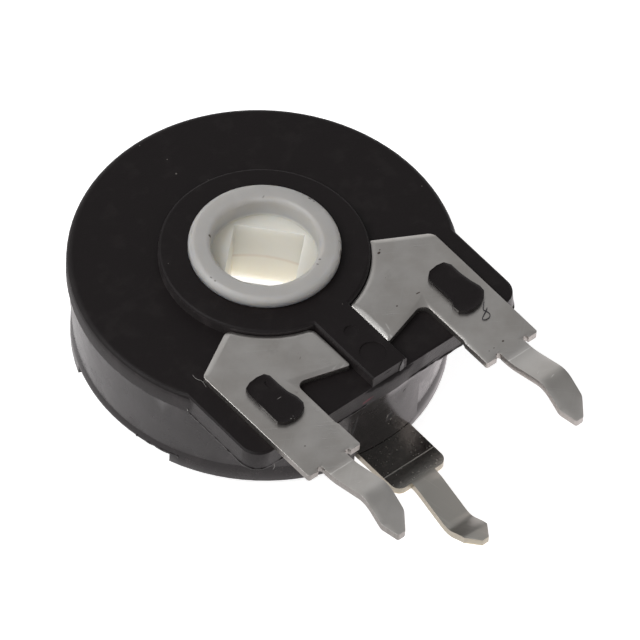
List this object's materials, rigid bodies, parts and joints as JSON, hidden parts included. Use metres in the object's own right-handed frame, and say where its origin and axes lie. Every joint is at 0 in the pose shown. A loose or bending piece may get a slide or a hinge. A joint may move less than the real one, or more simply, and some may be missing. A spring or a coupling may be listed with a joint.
{
  "type": "trimmer potentiometer",
  "caption": "Round black trimmer potentiometer with a white see-through rotor, two staked end terminals and a collector terminal, all with snap-in pins.",
  "frame": {"origin": "on the rotor axis, in the plane of the end terminals' outer faces, inside the rotor's round bore", "axes": "+Z is the rotor axis, out of the rear of the housing where the end terminals lie; the pins point towards -Y; +X runs across the pins"},
  "size_m": [0.017, 0.0236, 0.0065],
  "materials": {
    "black_moulding": "black thermoplastic, fine matt on the rear face and glossier on the side wall",
    "white_moulding": "natural white, slightly translucent moulding",
    "spring_bronze": "thin spring bronze sheet",
    "phenolic_sheet": "brown phenolic paper laminate",
    "carbon_ink": "printed carbon film",
    "silver_ink": "printed silver end pads",
    "bright_tinned_brass": "bright tinned brass with yellow cut edges",
    "satin_tinned_sheet": "satin tinned sheet with fine scratches"
  },
  "bodies": {
    "housing_body": {"housing": "black_moulding", "element_base": "phenolic_sheet", "carbon_track": "carbon_ink", "end_pads": "silver_ink", "collector_terminal": "bright_tinned_brass", "left_terminal": "satin_tinned_sheet", "right_terminal": "satin_tinned_sheet"},
    "rotor_body": {"rotor": "white_moulding", "wiper_contact": "spring_bronze"}
  },
  "joints": [
    {"name": "rotor_turn", "type": "hinge", "parent": "housing_body", "child": "rotor_body", "pos_m": [0, 0, 0], "axis": [0, 0, 1], "range_deg": [-128.5, 136.5]}
  ]
}
